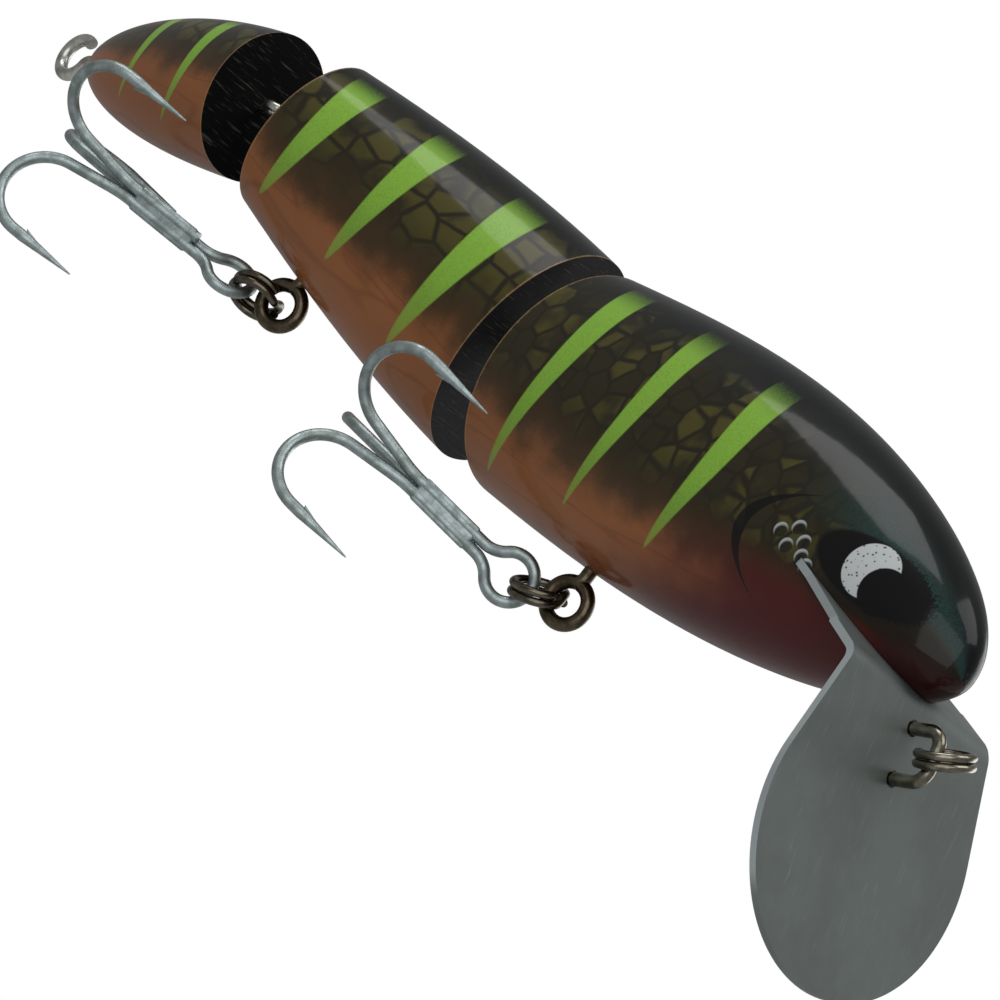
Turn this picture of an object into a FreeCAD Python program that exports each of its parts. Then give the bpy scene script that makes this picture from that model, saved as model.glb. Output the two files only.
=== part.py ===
import FreeCAD, Part
import math
import os

# A three-piece jointed timber swimbait with a folded metal bib, two belly
# trebles on split rings, wire joint eyes and an open tail eye. Millimetres,
# +X to the nose, +Z to the back. Each section is built straight in the head's
# frame, x = 0 at the head's rear face, and then turned about its joint to the
# angles in which the lure lies. The origin is the front wire of the tow eye.

# timber sections
head_length = 86.6
head_half_height = 16.1
head_half_width = 13.6
head_hump = 3.6
head_belly_swell = 0.6
head_top_power = 2.6
head_top_round = 0.42
head_belly_power = 2.4
head_belly_round = 0.54
head_side_power = 2.5
head_side_round = 0.46
nose_rise = 0.7
mid_length = 47.6
mid_front_half_height = 16.1
mid_front_half_width = 13.8
mid_rear_half_height = 11.5
mid_rear_half_width = 9.8
mid_rear_rise = 0.8
mid_swell = 0.07
tail_length = 39.5
tail_half_height = 10.3
tail_half_width = 8.9
tail_power = 2.2
tail_round = 0.56
tail_tip_drop = 1.7
body_stations = 9
nose_last_station = 0.995
loft_degree = 3

# gaps between the sections and the angles in which they lie
head_gap = 8.2
tail_gap = 10.3
mid_yaw = 15.8
mid_pitch = 5.7
tail_yaw = -21.7
tail_pitch = -15.1

# joint eyes, two linked loops of wire in each gap
joint_wire = 1.3
joint_eye_radius = 1.95
joint_eye_slack = 0.2
joint_neck_radius = 0.8
joint_shank_depth = 13.0
head_joint_standoff = 0.25
tail_joint_standoff = 1.3

# belly eyes
belly_wire = 1.85
belly_eye_radius = 2.78
belly_neck_radius = 1.2
belly_shank_depth = 12.0
belly_eye_gap_angle = 58.0
front_eye_x = 24.0
front_eye_drop = 4.85
front_eye_turn = 20.0
rear_eye_x = 33.4
rear_eye_drop = 3.95
rear_eye_turn = 8.0

# open tail eye
tail_wire = 1.75
tail_eye_radius = 2.75
tail_eye_neck = 1.1
tail_eye_opening = 64.0
tail_eye_shank_depth = 14.0
tail_eye_standoff = 4.9

# split rings, two coils of wire side by side
ring_wire = 1.1
ring_coil_gap = 0.06
ring_radius = 3.3
ring_jog_angle = 46.0
ring_end_gap = 5.0
front_ring_slack = 0.42
rear_ring_slack = 0.75

# treble hooks, a double and a single brazed to its back
hook_wire = 1.55
hook_bundle_gap = 0.05
hook_eye_radius = 3.15
hook_eye_flare = 4.0
front_hook_rest = (0.5, -0.45, -0.88)
rear_hook_rest = (0.75, 0.0, 0.0)
hook_single_start = 6.2
hook_fork = 16.4
hook_fork_radius = 18.0
hook_bend_x = 24.6
hook_bend_radius = 6.05
hook_bend_reach = 8.25
hook_spear = 8.0
hook_spear_start = 1.6
hook_tip = 0.1
barb_length = 2.4
barb_height = 0.55
barb_width = 0.8
barb_from_tip = 5.9

# how the belly rings and trebles lie
front_ring_dip = 15.0
front_ring_roll = 21.0
front_treble_slide = 8.0
front_treble_tilt = 26.0
front_treble_roll = 200.0
rear_ring_dip = 20.0
rear_ring_roll = -30.0
rear_treble_slide = 18.0
rear_treble_tilt = 8.0
rear_treble_roll = 22.0

# bib, one folded sheet
bib_thickness = 1.0
bib_blade_radius = 18.7
bib_blade_length = 37.3
bib_crease_half_width = 14.1
bib_root_half_width = 10.2
bib_tab_length = 17.9
bib_tab_buried = 3.0
bib_tab_fall = 12.7
bib_blade_lean = 20.7
bib_bend_radius = 2.0
crease_x = 83.1
crease_z = -4.6
slot_clearance = 0.08
jaw_setback = 2.8

# tow eye through the bib and its ring
tow_wire = 1.7
tow_hole_clearance = 0.2
tow_hole_top = 3.4
tow_hole_spacing = 6.6
tow_reach = 5.4
tow_corner_radius = 2.0
tow_clinch = 2.2
tow_clinch_radius = 1.5
tie_ring_slack = 0.2
tie_ring_roll = 25.0

# lead ballast plugs in the belly
ballast_radius = 4.0
ballast_length = 9.0
ballast_cover = 1.2
ballast_clearance = 0.05
head_ballast_x = 50.0
mid_ballast_x = 16.0

shank_clearance = 0.03

V = FreeCAD.Vector
X = V(1, 0, 0)
Y = V(0, 1, 0)
Z = V(0, 0, 1)


def unit(v):
    w = V(v)
    w.normalize()
    return w


def turned(v, axis, angle):
    return FreeCAD.Rotation(axis, angle).multVec(v)


def frame(origin, x_dir, y_dir):
    """A placement whose X and Y axes point along the two directions."""
    x = unit(x_dir)
    z = unit(x.cross(y_dir))
    y = z.cross(x)
    m = FreeCAD.Matrix(x.x, y.x, z.x, origin.x,
                       x.y, y.y, z.y, origin.y,
                       x.z, y.z, z.z, origin.z,
                       0, 0, 0, 1)
    return FreeCAD.Placement(m)


def placed(shape, placement):
    s = shape.copy()
    s.transformShape(placement.toMatrix(), True)
    return s


# lofted timber

def oval(x, half_width, top, bottom, centre, count=20):
    """A closed smooth section in the plane x, flatter or fuller above."""
    pts = []
    for k in range(count):
        t = 2 * math.pi * k / count
        rise = top if math.sin(t) > 0 else bottom
        pts.append(V(x, half_width * math.cos(t), centre + rise * math.sin(t)))
    c = Part.BSplineCurve()
    c.interpolate(pts, True)
    return Part.Wire([c.toShape()])


def rounded_stations(count, last):
    u = [math.sin(0.5 * math.pi * k / count) for k in range(count)]
    return u + [last]


def head_section(u):
    """Half width, height above, height below and centre height at share u."""
    swell = math.sin(math.pi * u)
    top = head_half_height * (1 - u ** head_top_power) ** head_top_round
    bottom = head_half_height * (1 - u ** head_belly_power) ** head_belly_round
    width = head_half_width * (1 - u ** head_side_power) ** head_side_round
    return (width, top + head_hump * swell, bottom + head_belly_swell * swell,
            nose_rise * u * u)


def mid_section(k):
    grow = 1 + mid_swell * 4 * k * (1 - k)
    h = (mid_front_half_height * (1 - k) + mid_rear_half_height * k) * grow
    w = (mid_front_half_width * (1 - k) + mid_rear_half_width * k) * grow
    return w, h, h, mid_rear_rise * k


def tail_section(u):
    s = (1 - u ** tail_power) ** tail_round
    return (tail_half_width * s, tail_half_height * s, tail_half_height * s,
            mid_rear_rise - tail_tip_drop * u * u)


def lofted(sections, tip=None):
    wires = [oval(x, w, t, b, c) for x, (w, t, b, c) in sections]
    if tip is not None:
        wires.append(Part.Vertex(tip))
    return Part.makeLoft(wires, True, False, False, loft_degree)


# bent wire, made of straight runs and arcs in one plane or several

def line(a, b):
    return Part.makeLine(a, b)


def arc(centre, x_dir, y_dir, radius, start, end):
    """An arc from start to end degrees, turning from x_dir towards y_dir."""
    def at(t):
        r = math.radians(t)
        return centre + x_dir * (radius * math.cos(r)) + y_dir * (radius * math.sin(r))
    return Part.Arc(at(start), at(0.5 * (start + end)), at(end)).toShape()


def bent_wire(edges, diameter):
    path = Part.Wire(edges)
    first = edges[0]
    start = first.Vertexes[0].Point
    ahead = first.tangentAt(first.FirstParameter)
    circle = Part.Wire([Part.makeCircle(diameter / 2, start, ahead)])
    return path.makePipeShell([circle], True, False)


def eye_path(radius, neck, open_to, depth, out):
    """A wire eye in the XZ plane round the origin, its shank up along +Z.

    The wire comes down the shank, bends clear round a neck arc and runs round
    the loop until open_to degrees before it would close. The out distance is
    from the loop's centre to the face that the shank goes into.
    """
    high = math.sqrt((radius + neck) ** 2 - neck ** 2)
    turn = math.degrees(math.atan2(high, neck))
    top = out + depth
    return [line(V(0, 0, top), V(0, 0, high)),
            arc(V(-neck, 0, high), X, Z, neck, 0, -turn),
            arc(V(0, 0, 0), X, Z, radius, 180 - turn, 180 + 270 - open_to)]


def eye(radius, wire, neck, open_to, depth, out):
    return bent_wire(eye_path(radius, neck, open_to, depth, out), wire)


def shank_hole(wire, depth, out, start):
    r = wire / 2 + shank_clearance
    return Part.makeCylinder(r, out + depth - start, V(0, 0, start))


# split ring, its axis along Z

ring_pitch = ring_wire + ring_coil_gap
ring_inner = ring_radius - ring_wire / 2


def split_ring():
    """Two flat coils joined by a jog, as a keyring is, in one bent wire."""
    low, high = -ring_pitch / 2, ring_pitch / 2
    half = ring_jog_angle / 2
    points = []
    steps = 8
    for k in range(steps + 1):
        f = k / steps
        t = math.radians(-half + ring_jog_angle * f)
        z = low + ring_pitch * (f - math.sin(2 * math.pi * f) / (2 * math.pi))
        points.append(V(ring_radius * math.cos(t), ring_radius * math.sin(t), z))
    jog = Part.BSplineCurve()
    a, b = math.radians(-half), math.radians(half)
    jog.interpolate(Points=points, InitialTangent=V(-math.sin(a), math.cos(a), 0),
                    FinalTangent=V(-math.sin(b), math.cos(b), 0))
    lower = arc(V(0, 0, low), X, Y, ring_radius, half + ring_end_gap - 360, -half)
    upper = arc(V(0, 0, high), X, Y, ring_radius, half, 360 - half - ring_end_gap)
    return bent_wire([lower, jog.toShape(), upper], ring_wire)


# treble hook, its shank from the eye at the origin along +X, its eye in the
# XY plane and the single hook on the -Z side

bundle_radius = (hook_wire + hook_bundle_gap) / (2 * math.sin(math.radians(60)))


def hook_edges(side, shank_from, reverse=False):
    """The fork, bend and straight point of one hook, out along side."""
    start = V(shank_from, 0, 0) + side * bundle_radius
    fork = V(hook_fork, 0, 0) + side * bundle_radius
    centre = V(hook_bend_x, 0, 0) + side * hook_bend_reach
    # the fork's arc and the bend are joined by the line that touches both
    c1 = fork + side * hook_fork_radius
    d = centre - c1
    along, out = d.dot(X), d.dot(side)
    dist = math.hypot(along, out)
    lean = math.degrees(math.atan2(out, along))
    cross = math.degrees(math.acos((hook_fork_radius - hook_bend_radius) / dist))
    touch = lean - cross
    e1 = arc(c1, X, side, hook_fork_radius, -90, touch)
    e2 = arc(centre, X, side, hook_bend_radius, touch, 90)
    p1 = e1.Vertexes[1].Point
    p2 = e2.Vertexes[0].Point
    p3 = e2.Vertexes[1].Point
    end = V(p3.x - hook_spear_start, 0, 0) + side * (hook_bend_reach + hook_bend_radius)
    return [line(start, fork), e1, line(p1, p2), e2, line(p3, end)], end


def spear(end, side):
    """The ground point and its barb, which faces the shank."""
    across = X.cross(side)
    cone = Part.makeCone(hook_wire / 2, hook_tip, hook_spear, end, X * -1)
    root = end - X * (hook_spear - barb_from_tip)
    inner = side * (-hook_wire * 0.3)
    a = root + inner
    b = a + X * barb_length + side * (-barb_height)
    c = a + X * (barb_length * 0.75)
    tri = Part.Face(Part.makePolygon([a - across * (barb_width / 2),
                                      b - across * (barb_width / 2),
                                      c - across * (barb_width / 2),
                                      a - across * (barb_width / 2)]))
    return cone.fuse(tri.extrude(across * barb_width))


def hook_sides():
    back = Z * -1
    return [turned(back, X, 120), turned(back, X, 240), back]


def treble_double():
    s1, s2, back = hook_sides()
    lift = bundle_radius * s1.dot(Z)
    half = abs(bundle_radius * s1.dot(Y))
    r, f = hook_eye_radius, hook_eye_flare
    neck = math.sqrt((r + f) ** 2 - (half + f) ** 2)
    meet = math.degrees(math.atan2(half + f, neck))
    hand = Y * (1 if s1.dot(Y) > 0 else -1)
    up = Z * lift
    edges1, end1 = hook_edges(s1, neck)
    edges2, end2 = hook_edges(s2, neck)
    flare1 = arc(V(neck, 0, 0) + up + hand * (half + f), X, hand, f, -90, -180 + meet)
    loop = arc(up, X, hand, r, meet, 360 - meet)
    flare2 = arc(V(neck, 0, 0) + up - hand * (half + f), X, hand * -1, f, -180 + meet, -90)
    run = [e for e in reversed(edges1)]
    path = [reversed_edge(e) for e in run] + [flare1, loop, flare2] + edges2
    body = bent_wire(path, hook_wire)
    return body.fuse([spear(end1, s1), spear(end2, s2)]).removeSplitter()


def reversed_edge(e):
    if isinstance(e.Curve, Part.Line):
        return line(e.Vertexes[1].Point, e.Vertexes[0].Point)
    mid = e.valueAt(0.5 * (e.FirstParameter + e.LastParameter))
    return Part.Arc(e.Vertexes[1].Point, mid, e.Vertexes[0].Point).toShape()


def treble_single():
    back = hook_sides()[2]
    edges, end = hook_edges(back, hook_single_start)
    body = bent_wire(edges, hook_wire)
    return body.fuse(spear(end, back)).removeSplitter()


# bib, its crease on a line across the head

lean = math.radians(bib_blade_lean)
fall = math.radians(bib_tab_fall)
blade_down = V(math.sin(lean), 0, -math.cos(lean))
blade_out = V(math.cos(lean), 0, math.sin(lean))
tab_back = V(-math.cos(fall), 0, math.sin(fall))
tab_under = V(-math.sin(fall), 0, -math.cos(fall))
crease = V(crease_x, 0, crease_z)


def prism(points, half_width):
    """A polygon in the XZ plane, drawn out to both sides."""
    moved = [p - Y * half_width for p in points]
    face = Part.Face(Part.makePolygon(moved + [moved[0]]))
    return face.extrude(Y * (2 * half_width))


def folded_strip(half_width):
    turn = math.pi / 2 - lean - fall
    mean = bib_bend_radius + bib_thickness / 2
    setback = mean * math.tan(turn / 2)
    p1 = crease + tab_back * setback
    centre = p1 + tab_under * mean
    edges = []
    rails = []
    for side in (1, -1):
        off = side * bib_thickness / 2
        a = crease + tab_back * (bib_tab_length + bib_tab_buried) - tab_under * off
        b = p1 - tab_under * off
        c = crease + blade_down * setback + blade_out * off
        d = crease + blade_down * bib_blade_length + blade_out * off
        middle = centre + unit((b - centre) + (c - centre)) * (mean + off)
        rails.append((a, d))
        edges += [line(a, b), Part.Arc(b, middle, c).toShape(), line(c, d)]
    edges += [line(rails[0][0], rails[1][0]), line(rails[0][1], rails[1][1])]
    wire = Part.Wire(Part.__sortEdges__(edges))
    wire.translate(Y * -half_width)
    return Part.Face(wire).extrude(Y * (2 * half_width))


def blade_outline():
    """Straight flanks that run into a round end, in the blade's own plane."""
    r = bib_blade_radius
    middle = crease + blade_down * (bib_blade_length - r)
    dist = math.hypot(bib_blade_length - r, bib_crease_half_width)
    lead = math.atan2(bib_crease_half_width, bib_blade_length - r)
    touch = lead + math.acos(r / dist)

    def at(t, sign):
        return middle - blade_down * (r * math.cos(t)) + Y * (sign * r * math.sin(t))
    left = crease - Y * bib_crease_half_width
    right = crease + Y * bib_crease_half_width
    # the flanks narrow past the crease as the tab does
    narrow = (bib_crease_half_width - bib_root_half_width) / bib_tab_length
    high = 2 * bib_bend_radius
    right_up = right - blade_down * high - Y * (high * narrow)
    left_up = left - blade_down * high + Y * (high * narrow)
    return Part.Wire([line(right_up, right), line(right, at(touch, 1)),
                      Part.Arc(at(touch, 1), at(math.pi, 1), at(touch, -1)).toShape(),
                      line(at(touch, -1), left), line(left, left_up),
                      line(left_up, right_up)])


def tab_outline():
    w, r = bib_crease_half_width, bib_root_half_width
    root = tab_back * bib_tab_length
    back = tab_back * (bib_tab_length + bib_tab_buried)
    ahead = tab_back * (-2 * bib_bend_radius)
    return Part.makePolygon([crease + ahead - Y * w, crease - Y * w, crease + root - Y * r,
                             crease + back - Y * r, crease + back + Y * r,
                             crease + root + Y * r, crease + Y * w, crease + ahead + Y * w,
                             crease + ahead - Y * w])


def tow_point(out, down):
    return crease + blade_out * out + blade_down * down


def bib():
    strip = folded_strip(2 * bib_blade_radius)
    deep = 3 * bib_bend_radius
    blade = Part.Face(blade_outline())
    blade.translate(blade_out * -deep)
    tab = Part.Face(tab_outline())
    tab.translate(tab_under * -deep)
    keep = blade.extrude(blade_out * (2 * deep)).fuse(tab.extrude(tab_under * (2 * deep)))
    sheet = strip.common(keep)
    r = tow_wire / 2 + tow_hole_clearance
    for down in (tow_hole_top, tow_hole_top + tow_hole_spacing):
        sheet = sheet.cut(Part.makeCylinder(r, 2 * deep, tow_point(-deep, down), blade_out))
    return sheet.removeSplitter()


# the tow eye, its legs through the sheet and its ends turned in behind it

tow_low = tow_hole_top + tow_hole_spacing
tow_middle = tow_hole_top + tow_hole_spacing / 2
tow_front = tow_point(tow_reach, tow_middle)


def tow_eye():
    back = bib_thickness / 2 + tow_hole_clearance
    q, c = tow_clinch_radius, tow_corner_radius
    n, d = blade_out, blade_down
    top, low = tow_hole_top, tow_low
    far = back + q
    return bent_wire([
        line(tow_point(-far, top + tow_clinch), tow_point(-far, top + q)),
        arc(tow_point(-back, top + q), n, d, q, -180, -90),
        line(tow_point(-back, top), tow_point(tow_reach - c, top)),
        arc(tow_point(tow_reach - c, top + c), n, d, c, -90, 0),
        line(tow_point(tow_reach, top + c), tow_point(tow_reach, low - c)),
        arc(tow_point(tow_reach - c, low - c), n, d, c, 0, 90),
        line(tow_point(tow_reach - c, low), tow_point(-back, low)),
        arc(tow_point(-back, low - q), n, d, q, 90, 180),
        line(tow_point(-far, low - q), tow_point(-far, low - tow_clinch))], tow_wire)


tie_ring_offset = ring_inner - tow_wire / 2 - tie_ring_slack
tie_ring_normal = turned(blade_down, blade_out, tie_ring_roll)
tie_ring_centre = tow_front + blade_out * tie_ring_offset

# the two joints, each a loop in the vertical plane linked with a level one

joint_inner = joint_eye_radius - joint_wire / 2
joint_link = joint_inner - joint_wire / 2 - joint_eye_slack
joint_out = joint_eye_radius + joint_wire / 2
head_eye_x = -(head_joint_standoff + joint_out)
head_pivot = V(head_eye_x - joint_eye_radius, 0, 0)
mid_front_x = -head_gap
mid_eye_x = head_pivot.x - joint_link
mid_rear_x = mid_front_x - mid_length
tail_front_x = mid_rear_x - tail_gap
mid_rear_eye_x = mid_rear_x - tail_joint_standoff - joint_out
tail_pivot = V(mid_rear_eye_x - joint_eye_radius, 0, mid_rear_rise)
tail_eye_x = tail_pivot.x - joint_link
tail_end_x = tail_front_x - tail_length
tail_end_z = mid_rear_rise - tail_tip_drop


def joint_eye(centre, into, side, out):
    made = eye(joint_eye_radius, joint_wire, joint_neck_radius, belly_eye_gap_angle,
               joint_shank_depth, out)
    return placed(made, frame(centre, side, into.cross(side)))


def bored(body, hole, centre, into, side):
    return body.cut(placed(hole, frame(centre, side, into.cross(side))))


def neck_height(radius, neck):
    return math.sqrt((radius + neck) ** 2 - neck ** 2)


joint_hole_start = neck_height(joint_eye_radius, joint_neck_radius)
belly_hole_start = neck_height(belly_eye_radius, belly_neck_radius)


def joint_hole(out):
    return shank_hole(joint_wire, joint_shank_depth, out, min(joint_hole_start, out))


# belly hangers in their own section's frame

def hanger(centre, turn, dip, roll, slack, slide, tilt, twist, rest):
    """Directions and centres of a belly eye, its ring and its treble.

    The rest triple is how far the hook's eye lies in from the ring's wire,
    aside and along the ring's axis.
    """
    ahead = turned(X, Z, turn)
    flat = turned(Y * -1, Z, turn)
    pull = ahead * -math.cos(math.radians(dip)) - Z * math.sin(math.radians(dip))
    normal = turned(pull.cross(flat), pull, -roll)
    link = belly_eye_radius + ring_inner - belly_wire / 2 - slack
    ring = centre + pull * link
    along = turned(pull, normal, slide)
    side = normal.cross(along)
    strand = ring + along * (ring_inner - hook_wire / 2 - rest[0])
    strand = strand + side * rest[1] + normal * rest[2]
    axis = turned(along, side, -tilt)
    upright = turned(normal, side, -tilt)
    hook = strand + axis * hook_eye_radius
    return {"eye": centre, "ahead": ahead, "flat": flat, "pull": pull, "ring": ring,
            "normal": normal, "axis": axis, "hook": hook,
            "upright": turned(upright, axis, twist)}


def belly_z(section, share):
    w, top, bottom, centre = section(share)
    return centre - bottom


front = hanger(V(front_eye_x, 0, belly_z(head_section, front_eye_x / head_length)
                 - front_eye_drop), front_eye_turn, front_ring_dip, front_ring_roll,
               front_ring_slack, front_treble_slide, front_treble_tilt, front_treble_roll,
               front_hook_rest)
rear = hanger(V(mid_front_x - rear_eye_x, 0,
                belly_z(mid_section, rear_eye_x / mid_length) - rear_eye_drop),
              rear_eye_turn, rear_ring_dip, rear_ring_roll, rear_ring_slack,
              rear_treble_slide, rear_treble_tilt, rear_treble_roll, rear_hook_rest)


def belly_eye(h, drop):
    made = eye(belly_eye_radius, belly_wire, belly_neck_radius, belly_eye_gap_angle,
               belly_shank_depth, drop)
    return placed(made, frame(h["eye"], h["ahead"], Z.cross(h["ahead"])))


def hung_ring(h):
    return placed(split_ring(), frame(h["ring"], h["pull"] * -1,
                                      h["normal"].cross(h["pull"] * -1)))


def hung_treble(made, h):
    # the eye of the hook stands off the shank's axis and is put on the ring
    off = bundle_radius * math.cos(math.radians(60))
    lift = h["upright"].cross(h["axis"]) * off
    return placed(made, frame(h["hook"] + lift, h["axis"], h["upright"]))


# timber with its slots and bores

def ballast(x, section, share):
    top = belly_z(section, share) + ballast_cover + ballast_length
    return Part.makeCylinder(ballast_radius, ballast_length, V(x, 0, top - ballast_length))


def ballast_bore(x, section, share):
    top = belly_z(section, share) + ballast_cover + ballast_length
    r = ballast_radius + ballast_clearance
    return Part.makeCylinder(r, ballast_length + 2 * ballast_clearance,
                             V(x, 0, top - ballast_length - ballast_clearance))


def kerf():
    half = bib_thickness / 2 + slot_clearance
    back = crease + tab_back * (bib_tab_length + bib_tab_buried + slot_clearance)
    ahead = crease - tab_back * head_length
    return prism([back + tab_under * half, back - tab_under * half,
                  ahead - tab_under * half, ahead + tab_under * half], head_length)


def jaw_trim():
    """What is cut from under the slot, up to a face behind the blade."""
    half = bib_thickness / 2
    start = crease - blade_out * (half + jaw_setback)
    # the jaw face runs up to the middle of the slot
    d = start - crease
    rise = (d.dot(tab_under)) / (-blade_down.dot(tab_under))
    top = start + blade_down * rise
    return prism([top, top - tab_back * head_length,
                  top - tab_back * head_length - Z * head_length,
                  top + blade_down * head_length], head_length)


def head_body():
    us = rounded_stations(body_stations, nose_last_station)
    body = lofted([(head_length * u, head_section(u)) for u in us],
                  V(head_length, 0, nose_rise))
    body = body.cut(kerf()).cut(jaw_trim())
    pieces = sorted(body.Solids, key=lambda s: s.Volume)
    body = pieces[-1]
    body = bored(body, joint_hole(-head_eye_x), V(head_eye_x, 0, 0), X, Z)
    hole = shank_hole(belly_wire, belly_shank_depth, front_eye_drop, belly_hole_start)
    hole = placed(hole, frame(front["eye"], X, Y))
    return body.cut(hole).cut(ballast_bore(head_ballast_x, head_section,
                                           head_ballast_x / head_length))


def mid_body():
    shares = [k / 5 for k in range(6)]
    body = lofted([(mid_front_x - mid_length * k, mid_section(k)) for k in shares])
    out = abs(mid_front_x - mid_eye_x)
    body = bored(body, joint_hole(out), V(mid_eye_x, 0, 0), X * -1, Y)
    rear_out = abs(mid_rear_x - mid_rear_eye_x)
    body = bored(body, joint_hole(rear_out), V(mid_rear_eye_x, 0, mid_rear_rise), X, Z)
    hole = shank_hole(belly_wire, belly_shank_depth, rear_eye_drop, belly_hole_start)
    body = body.cut(placed(hole, frame(rear["eye"], X, Y)))
    return body.cut(ballast_bore(mid_front_x - mid_ballast_x, mid_section,
                                 mid_ballast_x / mid_length))


tail_loop_x = tail_end_x - tail_eye_standoff


def tail_body():
    us = rounded_stations(body_stations, nose_last_station)
    body = lofted([(tail_front_x - tail_length * u, tail_section(u)) for u in us],
                  V(tail_end_x, 0, tail_end_z))
    out = abs(tail_front_x - tail_eye_x)
    body = bored(body, joint_hole(out), V(tail_eye_x, 0, mid_rear_rise), X * -1, Y)
    hole = shank_hole(tail_wire, tail_eye_shank_depth, tail_eye_standoff,
                      neck_height(tail_eye_radius, tail_eye_neck))
    return body.cut(placed(hole, frame(V(tail_loop_x, 0, tail_end_z), Z, Y * -1)))


def tail_eye():
    made = eye(tail_eye_radius, tail_wire, tail_eye_neck, tail_eye_opening,
               tail_eye_shank_depth, tail_eye_standoff)
    return placed(made, frame(V(tail_loop_x, 0, tail_end_z), Z, Y * -1))


# the sections turned about their joints, and the whole moved to the tow eye

def about(point, rotation):
    base = FreeCAD.Placement(point, FreeCAD.Rotation())
    turn = FreeCAD.Placement(V(0, 0, 0), rotation)
    return base.multiply(turn).multiply(base.inverse())


def swing(point, yaw, pitch):
    return about(point, FreeCAD.Rotation(Z, yaw).multiply(FreeCAD.Rotation(Y, pitch)))


to_origin = FreeCAD.Placement(tow_front * -1, FreeCAD.Rotation())
head_place = to_origin
mid_place = to_origin.multiply(swing(head_pivot, mid_yaw, mid_pitch))
tail_place = mid_place.multiply(swing(tail_pivot, tail_yaw, tail_pitch))


def nodes():
    made = {}

    def add(name, shape, place):
        made[name] = placed(shape, place)

    add("head_body", head_body(), head_place)
    add("mid_body", mid_body(), mid_place)
    add("tail_body", tail_body(), tail_place)
    add("bib", bib(), head_place)
    add("tow_eye", tow_eye(), head_place)
    add("line_tie_ring", placed(split_ring(), frame(tie_ring_centre, blade_out * -1,
        tie_ring_normal.cross(blade_out * -1))), head_place)
    add("head_joint_eye", joint_eye(V(head_eye_x, 0, 0), X, Z, -head_eye_x), head_place)
    add("mid_front_joint_eye", joint_eye(V(mid_eye_x, 0, 0), X * -1, Y,
        abs(mid_front_x - mid_eye_x)), mid_place)
    add("mid_rear_joint_eye", joint_eye(V(mid_rear_eye_x, 0, mid_rear_rise), X, Z,
        abs(mid_rear_x - mid_rear_eye_x)), mid_place)
    add("tail_joint_eye", joint_eye(V(tail_eye_x, 0, mid_rear_rise), X * -1, Y,
        abs(tail_front_x - tail_eye_x)), tail_place)
    add("tail_eye", tail_eye(), tail_place)
    add("front_belly_eye", belly_eye(front, front_eye_drop), head_place)
    add("rear_belly_eye", belly_eye(rear, rear_eye_drop), mid_place)
    add("front_split_ring", hung_ring(front), head_place)
    add("rear_split_ring", hung_ring(rear), mid_place)
    add("front_treble_double", hung_treble(treble_double(), front), head_place)
    add("front_treble_single", hung_treble(treble_single(), front), head_place)
    add("rear_treble_double", hung_treble(treble_double(), rear), mid_place)
    add("rear_treble_single", hung_treble(treble_single(), rear), mid_place)
    add("head_ballast", ballast(head_ballast_x, head_section,
        head_ballast_x / head_length), head_place)
    add("mid_ballast", ballast(mid_front_x - mid_ballast_x, mid_section,
        mid_ballast_x / mid_length), mid_place)
    return made


if __name__ == "__main__":
    os.makedirs("parts", exist_ok=True)
    for name, shape in nodes().items():
        shape.exportStep("parts/" + name + ".step")
        print(name, shape.isValid(), len(shape.Solids), round(shape.Volume, 2))
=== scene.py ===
# %% [markdown]
# # A jointed timber swimbait
# The real lure is three turned pieces of timber, painted and clear coated, with
# bent wire, split rings, treble hooks and a folded metal bib. The solids come
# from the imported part, so this file gives them their paint and metal, adds the
# few pieces that are only looks, and sets the light and the camera.

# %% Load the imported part
import math

import bpy
from mathutils import Matrix, Vector


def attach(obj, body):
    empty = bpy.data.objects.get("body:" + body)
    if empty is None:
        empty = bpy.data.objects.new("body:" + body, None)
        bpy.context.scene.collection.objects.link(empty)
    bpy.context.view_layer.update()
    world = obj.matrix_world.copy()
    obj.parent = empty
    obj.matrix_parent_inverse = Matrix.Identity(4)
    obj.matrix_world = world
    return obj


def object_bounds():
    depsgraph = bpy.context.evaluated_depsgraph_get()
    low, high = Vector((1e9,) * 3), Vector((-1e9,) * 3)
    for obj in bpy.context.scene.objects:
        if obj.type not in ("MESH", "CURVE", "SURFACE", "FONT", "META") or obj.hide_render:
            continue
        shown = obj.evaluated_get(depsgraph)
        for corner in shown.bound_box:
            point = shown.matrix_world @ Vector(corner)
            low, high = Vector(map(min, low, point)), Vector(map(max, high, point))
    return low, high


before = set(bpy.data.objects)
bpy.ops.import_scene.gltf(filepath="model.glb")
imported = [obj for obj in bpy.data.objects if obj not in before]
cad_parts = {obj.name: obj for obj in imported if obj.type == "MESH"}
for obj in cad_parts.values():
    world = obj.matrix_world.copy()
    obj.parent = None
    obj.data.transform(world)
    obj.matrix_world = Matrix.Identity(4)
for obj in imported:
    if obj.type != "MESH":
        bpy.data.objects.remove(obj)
cad_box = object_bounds()
box_low, box_high = cad_box
MM = 0.001
print("nodes", sorted(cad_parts))

# %% [markdown]
# ## Where each section lies
# The paint was sprayed on before the sections were joined, so its patterns are
# drawn in each section's own frame, in mm: x runs towards the nose, from the
# head's rear face, as on a straight lure, and z runs to the back. The frame's
# zero and its turn from the section ahead say where it lies in the bent lure.

# %% Section frames
HEAD_AT = (-90.5197, 0.0, 8.9587)
MID_AT = (-90.7239, 1.3005, 8.4820)
TAIL_AT = (-89.0645, -21.1820, 25.1013)
MID_TURN = (15.8, 5.7)
TAIL_TURN = (-21.7, -15.1)


def section_turn(yaw, pitch):
    """The turn of a section in degrees, yaw about Z and then pitch about its own Y."""
    about_z = Matrix.Rotation(math.radians(yaw), 3, "Z")
    return about_z @ Matrix.Rotation(math.radians(pitch), 3, "Y")


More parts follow.
